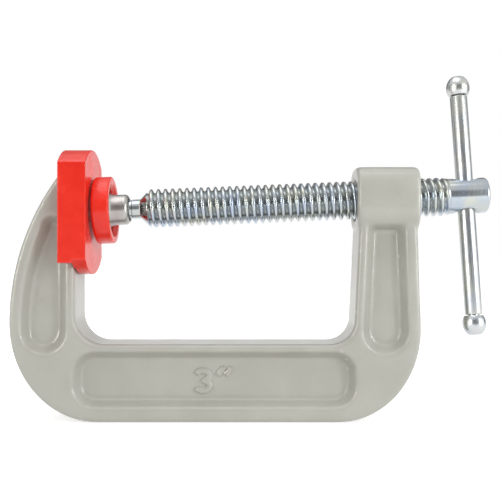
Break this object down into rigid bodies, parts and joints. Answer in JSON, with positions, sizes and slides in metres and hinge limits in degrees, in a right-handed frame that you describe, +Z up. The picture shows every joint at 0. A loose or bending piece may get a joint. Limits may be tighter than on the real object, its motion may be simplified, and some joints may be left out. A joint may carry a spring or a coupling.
{
  "type": "c clamp",
  "caption": "Cast C clamp with a round boss, a right-hand screw with a sliding T bar, a swivel shoe and soft slip-on pads on both jaws.",
  "frame": {"origin": "on the flat underside of the spine, in the frame's middle plane", "axes": "+X from the jaws towards the handle, +Z up from the spine to the screw, +Y to the back"},
  "size_m": [0.1475, 0.0256, 0.107],
  "materials": {
    "grey_paint": "gloss enamel over a slightly uneven casting",
    "plated_steel": "bright zinc plate, faintly bluish",
    "plated_bar": "bright zinc plate, drawn bar",
    "shoe_steel": "turned and zinc plated",
    "spring_steel": "dark spring wire",
    "red_pad": "soft satin PVC"
  },
  "bodies": {
    "clamp_frame": {"frame": "grey_paint"},
    "shoe_carrier": {"shoe_retaining_ring": "spring_steel"},
    "screw": {"spindle": "plated_steel"},
    "t_bar": {"handle_bar": "plated_bar", "handle_end_upper": "plated_bar", "handle_end_lower": "plated_bar"},
    "shoe": {"swivel_shoe": "shoe_steel"},
    "shoe_cap": {"shoe_pad": "red_pad"},
    "jaw_cap": {"jaw_pad": "red_pad"}
  },
  "joints": [
    {"name": "screw_travel", "type": "slide", "parent": "clamp_frame", "child": "shoe_carrier", "axis": [0.9992, 0, 0.0401], "range_m": [0, 0.069]},
    {"name": "screw_turn", "type": "hinge", "parent": "shoe_carrier", "child": "screw", "pos_m": [0.04205, 0, 0.06805], "axis": [0.9992, 0, 0.0401], "range_deg": [0, 11200]},
    {"name": "handle_slide", "type": "slide", "parent": "screw", "child": "t_bar", "axis": [-0.0399, 0.1045, 0.9937], "range_m": [-0.0262, 0.0313]},
    {"name": "shoe_tilt", "type": "hinge", "parent": "shoe_carrier", "child": "shoe", "pos_m": [-0.04181, 0, 0.06468], "axis": [-0.0401, 0, 0.9992], "range_deg": [-5, 5]},
    {"name": "pad_turn", "type": "hinge", "parent": "shoe", "child": "shoe_cap", "pos_m": [-0.04181, 0, 0.06468], "axis": [0.9992, 0, 0.0401], "continuous": true},
    {"name": "jaw_pad_lift", "type": "slide", "parent": "clamp_frame", "child": "jaw_cap", "axis": [0, 0, 1], "range_m": [0, 0.03]}
  ],
  "couplings": [
    {"joint": "screw_turn", "follows": "screw_travel", "rad_per_m": 2830.3}
  ]
}
